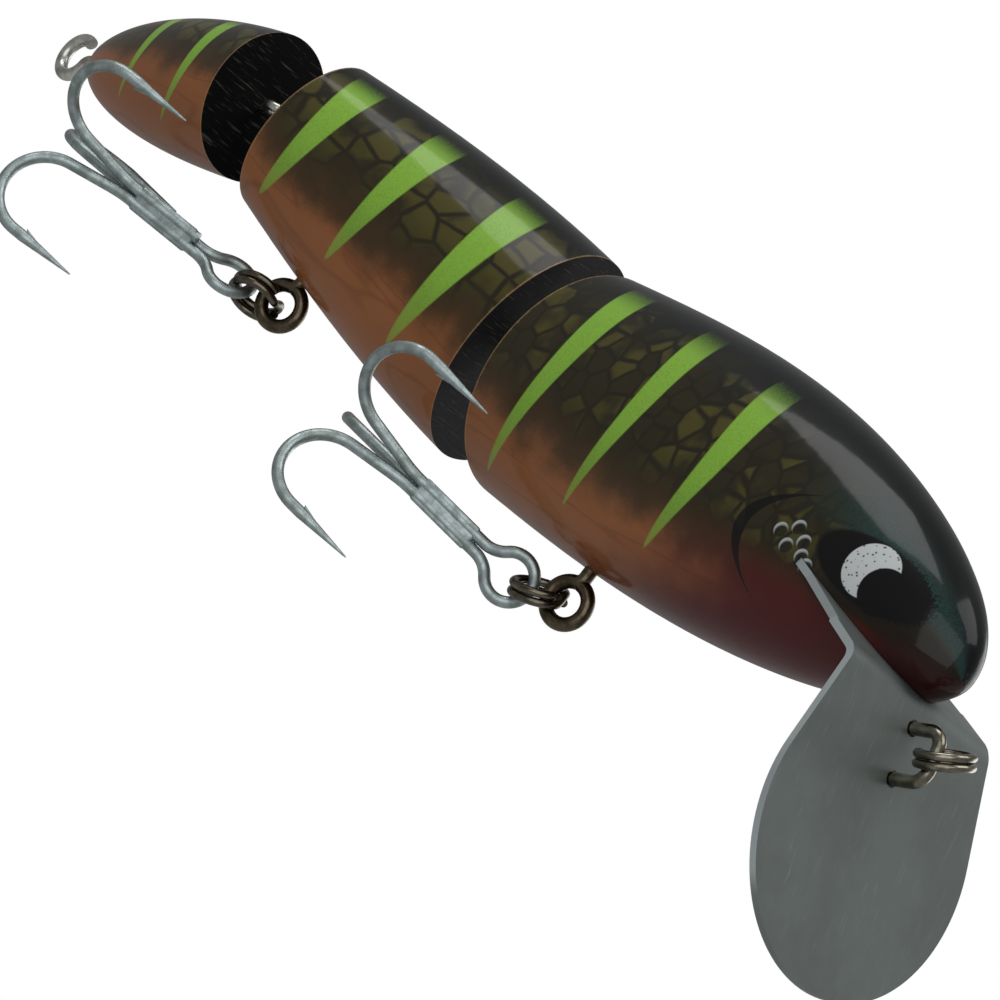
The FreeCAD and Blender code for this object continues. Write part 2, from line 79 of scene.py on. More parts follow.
places = {"head": HEAD_AT, "mid": MID_AT, "tail": TAIL_AT}
turns = {
    "head": Matrix.Identity(3),
    "mid": section_turn(*MID_TURN),
    "tail": section_turn(*MID_TURN) @ section_turn(*TAIL_TURN),
}
for name, turn in turns.items():
    print(name, [round(math.degrees(a), 2) for a in turn.to_euler()])

# %% [markdown]
# ## Colours and nodes
# Colours are written as a painter mixes them, as sRGB hex, and turned to the
# linear values that Blender reckons in. One helper adds any node with its
# settings and its links, so a material reads as a list of steps.


# %% Colours
def linear(hex_code):
    """An sRGB hex colour as linear red, green, blue and alpha."""
    def channel(v):
        return v / 12.92 if v <= 0.04045 else ((v + 0.055) / 1.055) ** 2.4
    raw = [int(hex_code[i:i + 2], 16) / 255 for i in (1, 3, 5)]
    return [channel(v) for v in raw] + [1.0]


print("#808080 is", round(linear("#808080")[0], 3), "in linear light")


# %% Nodes
def fill(tree, node, inputs):
    """Links an output to an input, or sets it to a number or a hex colour."""
    for key, value in inputs.items():
        if isinstance(value, bpy.types.NodeSocket):
            tree.links.new(value, node.inputs[key])
        else:
            node.inputs[key].default_value = linear(value) if isinstance(value, str) else value


def add(tree, kind, inputs=None, out=0, **settings):
    """Adds a node, sets it up, fills its inputs and returns one of its outputs.

    A Mix node's inputs go by number: 0 is the share, 2 and 3 are two numbers,
    4 and 5 two vectors, 6 and 7 two colours, and a colour comes out at 2.
    """
    node = tree.nodes.new("ShaderNode" + kind)
    for key, value in settings.items():
        setattr(node, key, value)
    fill(tree, node, inputs or {})
    return node.outputs[out]


# %% [markdown]
# A painter works with masks: here the colour goes, there it doesn't, and the
# edge between them is sharp or soft. A mask is a number from 0 to 1 at each
# point. Several edges multiplied give one mask, as tape and stencil laid over
# each other do, and a colour is laid over another where the mask holds.


# %% Masks and layers
def mask_of(tree, *edges):
    """One mask that holds where all its edges do.

    An edge is a mask or a share that is ready, or a value with where it starts
    and where it ends, and the two levels that it runs between if not 0 and 1.
    """
    mask = None
    for edge in edges:
        if isinstance(edge, tuple):
            value, start, end, *levels = edge
            first, last = levels or (0.0, 1.0)
            edge = add(tree, "MapRange", {0: value, 1: start, 2: end, 3: first, 4: last},
                       interpolation_type="SMOOTHSTEP")
        mask = edge if mask is None else add(tree, "Math", {0: mask, 1: edge},
                                             operation="MULTIPLY")
    return mask


def lay_over(tree, below, above, *edges):
    """Lays one colour over another where the mask of these edges holds."""
    return add(tree, "Mix", {0: mask_of(tree, *edges), 6: below, 7: above}, out=2,
               data_type="RGBA")


def distance(tree, value, place):
    """How far a value is from a place, whichever side it lies on."""
    off = add(tree, "Math", {0: value, 1: place}, operation="SUBTRACT")
    return add(tree, "Math", {0: off}, operation="ABSOLUTE")


# %% Materials
def new_material(name):
    """An empty material: its node tree and its Principled shader."""
    material = bpy.data.materials.new(name)
    material.use_nodes = True
    return material, material.node_tree, material.node_tree.nodes["Principled BSDF"]


def dress(node, material):
    """Puts a material into a CAD node's slot."""
    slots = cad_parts[node].data.materials
    slots.clear()
    slots.append(material)
    print(node, "is", material.name)


# %% [markdown]
# ## The camera
# A long lens from the lure's right side, rolled so that the lure runs down
# across the picture. Its axes were fitted to the outlines of the sections.

# %% Camera
CAMERA_AT = Vector((656.358, -665.049, -2.929)) * MM
RIGHT = Vector((0.52779, 0.59430, 0.60683))
DOWN = Vector((0.40679, 0.45032, -0.79482))
AHEAD = Vector((-0.74563, 0.66635, -0.00408))
LENS_MM = 288.0
SENSOR_MM = 36.0
NEAREST, FARTHEST = 0.01, 20.0

camera_data = bpy.data.cameras.new("camera")
camera_data.lens = LENS_MM
camera_data.sensor_width = SENSOR_MM
camera_data.clip_start = NEAREST
camera_data.clip_end = FARTHEST
camera = bpy.data.objects.new("camera", camera_data)
bpy.context.scene.collection.objects.link(camera)
axes = Matrix((RIGHT, -DOWN, -AHEAD)).transposed().to_4x4()
camera.matrix_world = Matrix.Translation(CAMERA_AT) @ axes
bpy.context.scene.camera = camera
lure_middle = (box_low + box_high) / 2
print("camera", round((CAMERA_AT - lure_middle).length, 3), "m from the lure's middle")

# %% [markdown]
# ## Painted timber
# The sections are sprayed: a black back, an olive net of scales on the sides,
# a copper belly, and lime bars that fade in at the back and run to a point.
# All of it lies under a thick gloss clear coat. A picture wrapped round each
# section would do it too, but needs an unwrapped mesh. Masks made from the
# place on the section need none, stay sharp close up, and stay with a section
# when it turns. Angles round a section are measured from its side: 90 is the
# back, -90 the belly.

# %% Paint colours
BACK_BLACK = "#0a0d0e"
UPPER_DARK = "#15150f"
SIDE_OLIVE = "#2b2719"
SIDE_BROWN = "#4d3721"
BELLY_COPPER = "#925b35"
# painted shade: the copper made darker at the very bottom of the belly, where less light falls
BELLY_PAINTED_SHADE = "#6b4127"
SCALE_OLIVE = "#484420"
LIME = "#82b040"
VARNISH_BROWN = "#5f3010"
END_BLACK = "#060707"
SAW_MARK = "#3b3933"
BARE_TIMBER = "#a5835a"

# %% Where the paints go on each section
# the angle where the copper starts to turn brown, and where the back turns black
COPPER_TO = {"head": -48.0, "mid": -34.0, "tail": -18.0}
BLACK_FROM = {"head": 60.0, "mid": 66.0, "tail": 62.0}
# the sawn faces' places along x
SAWN_ENDS = {"head": [0.0], "mid": [-8.2, -55.8], "tail": [-66.1]}
# a bar: its middle's place along x, the angle of its tip, its half width
BARS = {
    "head": [(11.2, -65.0, 2.35), (26.9, -53.0, 2.15), (42.8, -47.0, 2.45)],
    "mid": [(-48.4, -50.0, 2.75), (-32.9, -41.0, 2.7), (-16.9, -48.0, 2.9)],
    "tail": [(-73.6, -54.0, 1.45), (-86.0, -51.0, 1.25)],
}
# how far a bar bends back, in mm for each square degree from its middle angle
BAR_BEND = {"head": 0.00098, "mid": 0.00062, "tail": 0.00062}
BAR_MIDDLE = 14.0
# the angle where a bar is widest and fades, and how soon it swells from its tip
BAR_TOP = 56.0
BAR_SWELL = 0.62
# how much of the paint a bar has at its tip, and how far up it has all of it
BAR_THIN, BAR_THIN_TO = 0.62, 50.0
# scale cells for each mm along x, y and z: about 2.8 mm long and 3.2 mm high on
# the head, 4 by 2.8 mm on the middle section, 2.9 by 2.8 mm on the tail
CELLS = {"head": (0.36, 0.20, 0.31), "mid": (0.25, 0.22, 0.36), "tail": (0.34, 0.22, 0.36)}
# how many more of its cells a section shows
SCALES_SHOW = {"head": 0.0, "mid": 0.40, "tail": 0.2}
print({section: len(bars) for section, bars in BARS.items()}, "lime bars")


# %% Position in a section's frame
def section_coordinates(tree, section):
    """The place in mm, the same with left folded onto right, x, and the angle."""
    here = add(tree, "Mapping", {"Vector": add(tree, "TexCoord", out="Object"),
                                 "Location": [c * MM for c in places[section]],
                                 "Rotation": tuple(turns[section].to_euler())},
               vector_type="TEXTURE")
    mm = add(tree, "VectorMath", {0: here, "Scale": 1 / MM}, operation="SCALE")
    x, y, z = add(tree, "SeparateXYZ", {0: mm}).node.outputs
    side = add(tree, "Math", {0: y}, operation="ABSOLUTE")
    turn = add(tree, "Math", {0: z, 1: side}, operation="ARCTAN2")
    angle = add(tree, "Math", {0: turn}, operation="DEGREES")
    folded = add(tree, "CombineXYZ", {0: x, 1: side, 2: z})
    return mm, folded, x, angle


# %% [markdown]
# An airbrush lays fine dots, and its edge wanders with the hand. Two noises do
# that: a fine grain and a slow haze. Both are added to the angle before it is
# compared with a paint's edge, which costs less than a noise for each edge and
# makes neighbouring edges wander together, as one pass of the hand does.

# %% Airbrush grain and haze
# in features for each mm: the haze is about 6 mm, and the grain 0.25 mm, which is
# coarser than the real dots, so that it shows
GRAIN_FINE, HAZE_FINE = 4.0, 0.16
GRAIN_DEGREES, HAZE_DEGREES = 8.0, 34.0


def airbrush(tree, mm, folded, angle):
    """Grain and haze around zero, and the angle that they make uneven."""
    grain = add(tree, "TexNoise", {"Vector": mm, "Scale": GRAIN_FINE, "Detail": 2.0})
    grain = add(tree, "Math", {0: grain, 1: 0.5}, operation="SUBTRACT")
    haze = add(tree, "TexNoise", {"Vector": folded, "Scale": HAZE_FINE, "Detail": 3.0})
    haze = add(tree, "Math", {0: haze, 1: 0.5}, operation="SUBTRACT")
    level = add(tree, "Math", {0: haze, 1: HAZE_DEGREES, 2: angle},
                operation="MULTIPLY_ADD")
    level = add(tree, "Math", {0: grain, 1: GRAIN_DEGREES, 2: level},
                operation="MULTIPLY_ADD")
    return grain, haze, level


# %% Ground colours
def spray_ground(tree, section, level):
    """A painted shade at the belly's bottom, then copper, brown, olive and a dark coat, each
    from its own angle upwards.
    """
    copper_to = COPPER_TO[section]
    # the ground starts as the painted shade at the belly's bottom, and the copper is laid over
    # it from there up
    colour = BELLY_PAINTED_SHADE
    for start, full, paint in (
            (-95.0, -60.0, BELLY_COPPER), (copper_to, copper_to + 26.0, SIDE_BROWN),
            (copper_to + 12.0, copper_to + 48.0, SIDE_OLIVE), (30.0, 60.0, UPPER_DARK)):
        colour = lay_over(tree, colour, paint, (level, start, full))
    return colour


# %% [markdown]
# The scales are sprayed through a net: olive cells with the dark ground left
# between them, in patches. A Voronoi texture gives just such cells, none like
# the next. Its distance to the edge draws the net, and its colour, different in
# each cell, picks the cells that show.

# %% Scales
CELL_WOBBLE, CELL_WOBBLE_FINE = 0.12, 0.5
CELL_LOOSE = 0.72
CELL_PATCHES = 2.6


def spray_scales(tree, section, colour, folded, x, level, haze):
    """Olive cells in patches, with dark edges between them, and the black back."""
    copper_to, black_from = COPPER_TO[section], BLACK_FROM[section]
    cell = add(tree, "VectorMath", {0: folded, 1: CELLS[section]}, operation="MULTIPLY")
    wobble = add(tree, "TexNoise", {"Vector": folded, "Scale": CELL_WOBBLE_FINE},
                 out="Color")
    cell = add(tree, "Mix", {0: CELL_WOBBLE, 4: cell, 5: wobble}, out=1,
               data_type="VECTOR")
    loose = {"Vector": cell, "Scale": 1.0, "Randomness": CELL_LOOSE}
    edge = add(tree, "TexVoronoi", loose, feature="DISTANCE_TO_EDGE")
    tint = add(tree, "TexVoronoi", loose, out="Color", feature="F1")
    pick = add(tree, "SeparateColor", {0: tint})
    patchy = add(tree, "Math", {0: haze, 1: CELL_PATCHES, 2: pick},
                 operation="MULTIPLY_ADD")
    patchy = add(tree, "Math", {0: patchy, 1: SCALES_SHOW[section]}, operation="ADD")
    colour = lay_over(tree, colour, UPPER_DARK, (edge, 0.02, 0.12, 0.4, 0.0),
                      (level, copper_to + 30.0, copper_to + 64.0))
    # the cells stop below the back, and on the head short of the eye
    colour = lay_over(tree, colour, SCALE_OLIVE, (edge, 0.03, 0.15),
                      (patchy, 0.35, 0.85, 0.04, 1.0),
                      (level, copper_to + 26.0, copper_to + 62.0),
                      (level, 48.0, 66.0, 1.0, 0.0), (x, 60.0, 68.0, 1.0, 0.0))
    return lay_over(tree, colour, BACK_BLACK, (level, black_from - 8.0, black_from + 10.0))


# %% [markdown]
# Varnish that ran before it set left thin brown lines on the belly. A noise that
# is stretched along the section makes long slow hills, and the line where they
# cross one height wanders as a run does, thin and without an end.

# %% Varnish runs
RUN_STRETCH = (0.018, 0.09, 0.11)
RUN_HEIGHT = 0.52


def varnish_runs(tree, section, colour, folded, angle):
    """Thin brown lines on the belly, where a slow noise crosses one height."""
    copper_to = COPPER_TO[section]
    slow = add(tree, "VectorMath", {0: folded, 1: RUN_STRETCH}, operation="MULTIPLY")
    run = add(tree, "TexNoise", {"Vector": slow, "Scale": 1.6, "Detail": 1.5,
                                 "Distortion": 0.5})
    away = distance(tree, run, RUN_HEIGHT)
    return lay_over(tree, colour, VARNISH_BROWN, (away, 0.0, 0.03, 0.30, 0.0),
                    (angle, copper_to + 6.0, copper_to + 28.0, 1.0, 0.0))


# %% [markdown]
# The lime bars are sprayed through a bent stencil that was moved along the
# section: pointed below, widest near the back, where they fade. A point is in a
# bar where it is nearer to a bent line than a width that grows with the angle,
# so a table of a few numbers holds all the bars.

# %% Lime bars
BAR_GRAIN_DEGREES = 10.0


def lime_bars(tree, section, colour, x, angle, grain):
    """All the bars of a section, one mask, speckled where they fade at the back."""
    off = add(tree, "Math", {0: angle, 1: BAR_MIDDLE}, operation="SUBTRACT")
    squared = add(tree, "Math", {0: off, 1: off}, operation="MULTIPLY")
    bend = add(tree, "Math", {0: squared, 1: BAR_BEND[section]}, operation="MULTIPLY")
    mask = 0.0
    for place, tip, half in BARS[section]:
        centre = add(tree, "Math", {0: place, 1: bend}, operation="SUBTRACT")
        share = add(tree, "MapRange", {0: angle, 1: tip, 2: BAR_TOP})
        swell = add(tree, "Math", {0: share, 1: BAR_SWELL}, operation="POWER")
        width = add(tree, "Math", {0: swell, 1: half}, operation="MULTIPLY")
        inside = add(tree, "Math", {0: width, 1: distance(tree, x, centre)},
                     operation="SUBTRACT")
        thin = add(tree, "MapRange", {0: angle, 1: tip, 2: tip + BAR_THIN_TO, 3: BAR_THIN})
        bar = mask_of(tree, (inside, -0.12, 0.22), thin, (angle, tip, tip + 3.0))
        mask = add(tree, "Math", {0: mask, 1: bar}, operation="MAXIMUM")
    speckled = add(tree, "Math", {0: grain, 1: BAR_GRAIN_DEGREES, 2: angle},
                   operation="MULTIPLY_ADD")
    return lay_over(tree, colour, LIME, mask,
                    (speckled, BAR_TOP - 8.0, BAR_TOP + 14.0, 1.0, 0.0),
                    (grain, -0.25, 0.1, 0.78, 1.0))


# %% [markdown]
# The sawn ends are painted black, with the saw's marks still showing, and a
# line of bare timber where the paint has worn through on their rims. The clear
# coat is the shader's own Coat, so that the paint under it can stay dull, and
# it thins out on the sawn faces.

# %% Sawn ends, clear coat
PAINT_ROUGH, SAWN_ROUGH = 0.36, 0.62
PAINT_COAT, SAWN_COAT = 0.32, 0.05
COAT_ROUGH = 0.10
PAINT_SPECULAR = 0.06
SAW_TURN, SAW_STRETCH = (0.35, 0.0, 0.0), (0.2, 0.12, 1.7)
# the coat lies uneven over the timber, in waves of about 8 mm
COAT_WAVES = 0.12
COAT_UNEVEN, COAT_DEEP = 0.3, 0.15 * MM


def finish_timber(tree, section, shader, colour, mm, x):
    """Worn rims and black sawn faces at the ends, and the clear coat over all."""
    along_saw = add(tree, "Mapping", {"Vector": mm, "Rotation": SAW_TURN,
                                      "Scale": SAW_STRETCH})
    saw = add(tree, "TexNoise", {"Vector": along_saw, "Scale": 2.6, "Detail": 4.0})
    cut = 0.0
    for end in SAWN_ENDS[section]:
        away = distance(tree, x, end)
        ragged = add(tree, "Math", {0: saw, 1: -0.5, 2: away}, operation="MULTIPLY_ADD")
        colour = lay_over(tree, colour, BARE_TIMBER, (ragged, -0.1, 0.06, 0.5, 0.0))
        face = mask_of(tree, (away, 0.015, 0.03, 1.0, 0.0))
        cut = add(tree, "Math", {0: cut, 1: face}, operation="MAXIMUM")
    marks = lay_over(tree, END_BLACK, SAW_MARK, (saw, 0.58, 0.70))
    uneven = add(tree, "TexNoise", {"Vector": mm, "Scale": COAT_WAVES, "Detail": 1.0})
    height = add(tree, "Mix", {0: cut, 2: uneven, 3: saw})
    bump = add(tree, "Bump", {"Height": height, "Strength": COAT_UNEVEN,
                              "Distance": COAT_DEEP})
    fill(tree, shader, {
        "Base Color": lay_over(tree, colour, marks, cut),
        "Roughness": add(tree, "Mix", {0: cut, 2: PAINT_ROUGH, 3: SAWN_ROUGH}),
        "Coat Weight": add(tree, "Mix", {0: cut, 2: PAINT_COAT, 3: SAWN_COAT}),
        "Coat Roughness": COAT_ROUGH, "Specular IOR Level": PAINT_SPECULAR,
        "Normal": bump, "Coat Normal": bump})


# %% [markdown]
# ## The head's paint
# A maroon throat, a teal haze on the snout that is partly teal paint and partly
# a painted reflection, a stroke for the gill cover, a few scales that catch the
# light, and the eye: a black airbrushed patch, a pale speckled disc and a black
# pupil. Round things are masks by distance from a point, so each is one centre
# and one radius.

# %% Head values
THROAT_MAROON = "#4c1717"
SNOUT_TEAL_AND_SHEEN = "#1f3a38"
JOWL_DARK = "#191610"
LIP_MAROON = "#220f10"
EYE_BLACK = "#0b0b0c"
EYE_PALE = "#bcc1c1"
EYE_SPECK = "#3a3d3d"
SCALE_GLINT = "#a9b0b0"
SCALE_PIT = "#1b1b17"
# places and radii in mm, in the head's own frame
EYE_PATCH = (72.4, 8.2, 3.9)
PATCH_TURN, PATCH_SIZE = (0.0, -0.2, 0.0), (0.105, 0.10, 0.24)
EYE_DISC = (71.6, 8.4, 4.2)
EYE_DISC_RADIUS = 3.75
PUPIL = (74.7, 7.7, 2.9)
PUPIL_RADIUS = 3.2
GILL_AT = 52.3
GILL_BEND = 0.0045
GILL_MIDDLE = 1.0
GILL_HALF = 0.95
GLINTS = [(57.9, 11.0, 1.7), (59.8, 10.6, 3.2), (60.0, 10.75, 0.55), (61.8, 10.4, 2.1),
          (62.8, 10.35, 0.55), (64.1, 10.1, -0.1)]
GLINT_RADIUS = 0.98
GLINT_ALONG, GLINT_DOWN, GLINT_SOFT = 0.3, 0.28, 0.2


# %% Throat and snout
def head_paint(tree, colour, x, angle, grain, haze):
    """Maroon throat, teal snout with a painted reflection in it, dark jowl and lip, over the
    scales.
    """
    slant = add(tree, "Math", {0: angle, 1: -0.35, 2: x}, operation="MULTIPLY_ADD")
    slant = add(tree, "Math", {0: haze, 1: 14.0, 2: slant}, operation="MULTIPLY_ADD")
    colour = lay_over(tree, colour, THROAT_MAROON, (slant, 44.0, 74.0),
                      (angle, -25.0, 2.0, 1.0, 0.0))
    # the teal on the upper snout is partly teal paint and partly a painted reflection of the
    # lamps
    colour = lay_over(tree, colour, SNOUT_TEAL_AND_SHEEN, (x, 52.0, 72.0), (angle, 22.0, 42.0),
                      (angle, 50.0, 74.0, 1.0, 0.0), (grain, -0.16, 0.14, 0.35, 1.0))
    colour = lay_over(tree, colour, JOWL_DARK, (x, 62.0, 72.0),
                      (angle, 20.0, 36.0, 1.0, 0.0), (angle, -16.0, -2.0, 0.0, 0.9))
    return lay_over(tree, colour, LIP_MAROON, (x, 74.0, 82.0),
                    (angle, -8.0, 18.0, 1.0, 0.0), 0.8)


# %% Gill stroke
def gill_stroke(tree, colour, x, angle):
    """A black crescent: a line that bends forward above and below its middle."""
    off = add(tree, "Math", {0: angle, 1: GILL_MIDDLE}, operation="SUBTRACT")
    squared = add(tree, "Math", {0: off, 1: off}, operation="MULTIPLY")
    curve = add(tree, "Math", {0: squared, 1: GILL_BEND, 2: GILL_AT},
                operation="MULTIPLY_ADD")
    from_middle = distance(tree, angle, GILL_MIDDLE)
    half = mask_of(tree, (from_middle, 4.0, 46.0, 1.0, 0.0), GILL_HALF)
    inside = add(tree, "Math", {0: half, 1: distance(tree, x, curve)},
                 operation="SUBTRACT")
    return lay_over(tree, colour, EYE_BLACK, (inside, -0.05, 0.12), 0.9)


# %% Discs and scale glints
def disc(tree, folded, centre, radius, soft=0.08):
    """A round mask in mm, with an edge that is soft over twice this width."""
    away = add(tree, "VectorMath", {0: folded, 1: centre}, out="Value",
               operation="DISTANCE")
    return mask_of(tree, (away, radius - soft, radius + soft, 1.0, 0.0))


def scale_glints(tree, colour, folded):
    """Each glint is a dark disc with a pale arc that a second disc leaves over."""
    for x, y, z in GLINTS:
        full = disc(tree, folded, (x, y, z), GLINT_RADIUS)
        inner = disc(tree, folded, (x + GLINT_ALONG, y, z - GLINT_DOWN), GLINT_RADIUS,
                     GLINT_SOFT)
        outside = add(tree, "Math", {0: 1.0, 1: inner}, operation="SUBTRACT")
        colour = lay_over(tree, colour, SCALE_PIT, full, 0.75)
        colour = lay_over(tree, colour, SCALE_GLINT, full, outside, 0.9)
    return colour


# %% Eye
def eye_paint(tree, colour, folded, x, grain):
    """A long black oval, sharp behind and sprayed thin ahead, disc and pupil."""
    oval = add(tree, "VectorMath", {0: folded, 1: EYE_PATCH}, operation="SUBTRACT")
    oval = add(tree, "Mapping", {"Vector": oval, "Rotation": PATCH_TURN,
                                 "Scale": PATCH_SIZE})
    reach = add(tree, "VectorMath", {0: oval}, out="Value", operation="LENGTH")
    spray = mask_of(tree, grain, (x, 70.0, 80.0))
    reach = add(tree, "Math", {0: spray, 1: 0.5, 2: reach}, operation="MULTIPLY_ADD")
    colour = lay_over(tree, colour, EYE_BLACK, (reach, 0.93, 1.03, 1.0, 0.0))
    specks = add(tree, "TexVoronoi", {"Vector": folded, "Scale": 1.5})
    pale = lay_over(tree, EYE_PALE, EYE_SPECK, (specks, 0.16, 0.28, 0.85, 0.0))
    colour = lay_over(tree, colour, pale, disc(tree, folded, EYE_DISC, EYE_DISC_RADIUS))
    return lay_over(tree, colour, EYE_BLACK, disc(tree, folded, PUPIL, PUPIL_RADIUS))


# %% Paint the three sections
def painted_timber(section):
    """Sprayed and clear-coated timber: the paint in the base, the coat on top."""
    material, tree, shader = new_material("sprayed_timber_" + section)
    mm, folded, x, angle = section_coordinates(tree, section)
    grain, haze, level = airbrush(tree, mm, folded, angle)
    colour = spray_ground(tree, section, level)
    colour = spray_scales(tree, section, colour, folded, x, level, haze)
    colour = varnish_runs(tree, section, colour, folded, angle)
    if section == "head":
        colour = head_paint(tree, colour, x, angle, grain, haze)
    colour = lime_bars(tree, section, colour, x, angle, grain)
    if section == "head":
        colour = gill_stroke(tree, colour, x, angle)
        colour = scale_glints(tree, colour, folded)
        colour = eye_paint(tree, colour, folded, x, grain)
    finish_timber(tree, section, shader, colour, mm, x)
    return material


for section in places:
    dress(section + "_body", painted_timber(section))

# %% [markdown]
# ## Metal
# The hooks are carbon steel with a satin tin plate, slightly blue. Rings and
# the tow wire are nickel plated and browned by wear, and the split rings under
# the belly are a darker copy of that plate, a painted shade. The joint eyes are
# bare stainless wire. All are smooth drawn wire whose plating is mottled, so
# one finish serves: two tones and two roughnesses on a slow noise, and a fine
# bump. Only the numbers change from metal to metal, and the two lead plugs,
# which are sealed in the timber, take the same finish.

# %% Wire and plate finishes
PLATE_DEEP = 0.05 * MM


def metal(name, tone, dark, rough, grit, bump_strength):
    """A metal with mottled plating; grit is the size of the mottling in mm."""
    material, tree, shader = new_material(name)
    place = add(tree, "TexCoord", out="Object")
    mottle = add(tree, "TexNoise", {"Vector": place, "Scale": 1 / (grit * MM),
                                    "Detail": 5.0, "Roughness": 0.6})
    fine = add(tree, "TexNoise", {"Vector": place, "Scale": 4 / (grit * MM),
                                  "Detail": 3.0})
    fill(tree, shader, {
        "Base Color": lay_over(tree, dark, tone, (mottle, 0.35, 0.65)),
        "Metallic": 1.0,
        "Roughness": mask_of(tree, (mottle, 0.3, 0.7, rough * 1.2, rough * 0.85)),
        "Normal": add(tree, "Bump", {"Height": fine, "Strength": bump_strength,
                                     "Distance": PLATE_DEEP})})
    return material


# %% Dress the wire, rings, hooks and lead
# name, tone, dark tone, roughness, mottling in mm, bump, and the nodes it is on
METALS = [
    # dull plate: a broad grey sheen, with no sharp mirror
    ("satin_tin_plate", "#a3afb0", "#87928f", 0.46, 1.6, 0.15,
     ["front_treble_double", "front_treble_single", "rear_treble_double",
      "rear_treble_single"]),
    # worn plate on spring wire: dark, with one narrow bright line along it
    # the split rings hang under the belly, so their copy of the plate is darker: a painted
    # shade
    ("dark_nickel_plate", "#6d675b", "#4a453b", 0.22, 2.2, 0.2,
     ["front_split_ring", "rear_split_ring"]),
    ("worn_nickel_plate", "#8b8678", "#605c51", 0.22, 2.2, 0.2,
     ["line_tie_ring", "tow_eye"]),
    # bare drawn wire: bright and a little soft
    ("stainless_wire", "#c6c6c0", "#96948c", 0.30, 1.8, 0.2,
     ["head_joint_eye", "mid_front_joint_eye", "mid_rear_joint_eye", "tail_joint_eye",
      "tail_eye"]),
    # wire of the eyes under the belly: dark brown, and still shiny
    ("browned_wire", "#64594a", "#40382d", 0.28, 1.8, 0.25,
     ["front_belly_eye", "rear_belly_eye"]),
    # a cast plug, dull and rough, sealed where it can't be seen
    ("cast_lead", "#5c5f66", "#43464c", 0.6, 1.5, 0.6,
     ["head_ballast", "mid_ballast"]),
]
finishes = {}
for name, *look, nodes in METALS:
    finishes[name] = metal(name, *look)
    for node in nodes:
        dress(node, finishes[name])

# %% [markdown]
# ## Small wire work
# A belly eye's wire comes round until it rests on its own neck. The last turn is
# a disc spun about the eye's middle, as the wire is bent round a pin. Between
# the three wires of a treble's shank lies braze, a three-sided bar with its corners
# rounded off, so that it fills the grooves and the wires show through little.

# %% Where the eyes and hooks are
# sizes in mm and degrees; an eye has its middle, the way ahead and the way up
WIRE_RADIUS = 0.92
WIRE_SIDES = 28
EYE_RADIUS = 2.78
CLOSE_FROM = 26.0
CLOSE_TURN = 64.0
CLOSE_STEPS = 14
BELLY_EYES = {
    "head": ((-66.5197, 0.0, -11.9924), (0.9397, 0.3420, 0.0), (0.0, 0.0, 1.0)),
    "mid": ((-132.1803, -10.4305, -4.3176), (0.9102, 0.4022, -0.0984),
            (0.0956, 0.0270, 0.9951)),
}
# a hook has its eye's middle, the way along its shank and the way to its single
HOOKS = {
    "front_treble": ((-74.5086, -2.7799, -13.8130), (-0.8028, -0.5837, 0.1216),
                     (-0.0778, -0.0997, -0.9920)),
    "rear_treble": ((-138.9599, -14.7217, -4.9203), (-0.8182, -0.5742, 0.0288),
                    (-0.4493, 0.6698, 0.5912)),
}
BRAZE_FROM, BRAZE_TO = 6.4, 16.3
BRAZE_CORNER, BRAZE_ROUND = 2.24, 0.60
BRAZE_STEPS = 5
MERGE_WITHIN = 0.01 * MM
SMOOTH_BELOW = 50.0


# %% Put a small piece in its place
def local_frame(centre, x_dir, up):
    """The turn and place of a small piece, its X and Z along two directions."""
    x = Vector(x_dir).normalized()
    y = Vector(up).cross(x).normalized()
    turn = Matrix((x, y, x.cross(y))).transposed().to_4x4()
    return Matrix.Translation(Vector(centre) * MM) @ turn


def set_in_place(piece, place, name, material, body):
    """Turns and moves a piece, applies it to the mesh, and rides it on a body."""
    piece.name = name
    piece.data.name = name
    piece.matrix_world = place
    bpy.ops.object.transform_apply(location=True, rotation=True, scale=True)
    bpy.ops.object.shade_smooth_by_angle(angle=math.radians(SMOOTH_BELOW))
    piece.data.materials.append(material)
    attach(piece, body)
    print(piece.name, len(piece.data.polygons), "faces, on", body)


# %% Closing turns of the belly eyes
for body, (centre, ahead, up) in BELLY_EYES.items():
    bpy.ops.object.select_all(action="DESELECT")
    bpy.ops.mesh.primitive_circle_add(vertices=WIRE_SIDES, radius=WIRE_RADIUS * MM,
                                      fill_type="NGON", location=(0, 0, 0))
    piece = bpy.context.object
    bpy.ops.object.mode_set(mode="EDIT")
    bpy.ops.transform.translate(value=(EYE_RADIUS * MM, 0, 0))
    bpy.ops.mesh.spin(steps=CLOSE_STEPS, angle=math.radians(CLOSE_TURN),
                      center=(0, 0, 0), axis=(0, 1, 0))
    bpy.ops.mesh.select_all(action="SELECT")
    bpy.ops.mesh.remove_doubles(threshold=MERGE_WITHIN)
    bpy.ops.mesh.normals_make_consistent(inside=False)
    bpy.ops.object.mode_set(mode="OBJECT")
    start = Matrix.Rotation(math.radians(-CLOSE_FROM), 4, "Y")
    set_in_place(piece, local_frame(centre, ahead, up) @ start, body + "_eye_closing_turn",
                 finishes["browned_wire"], body)

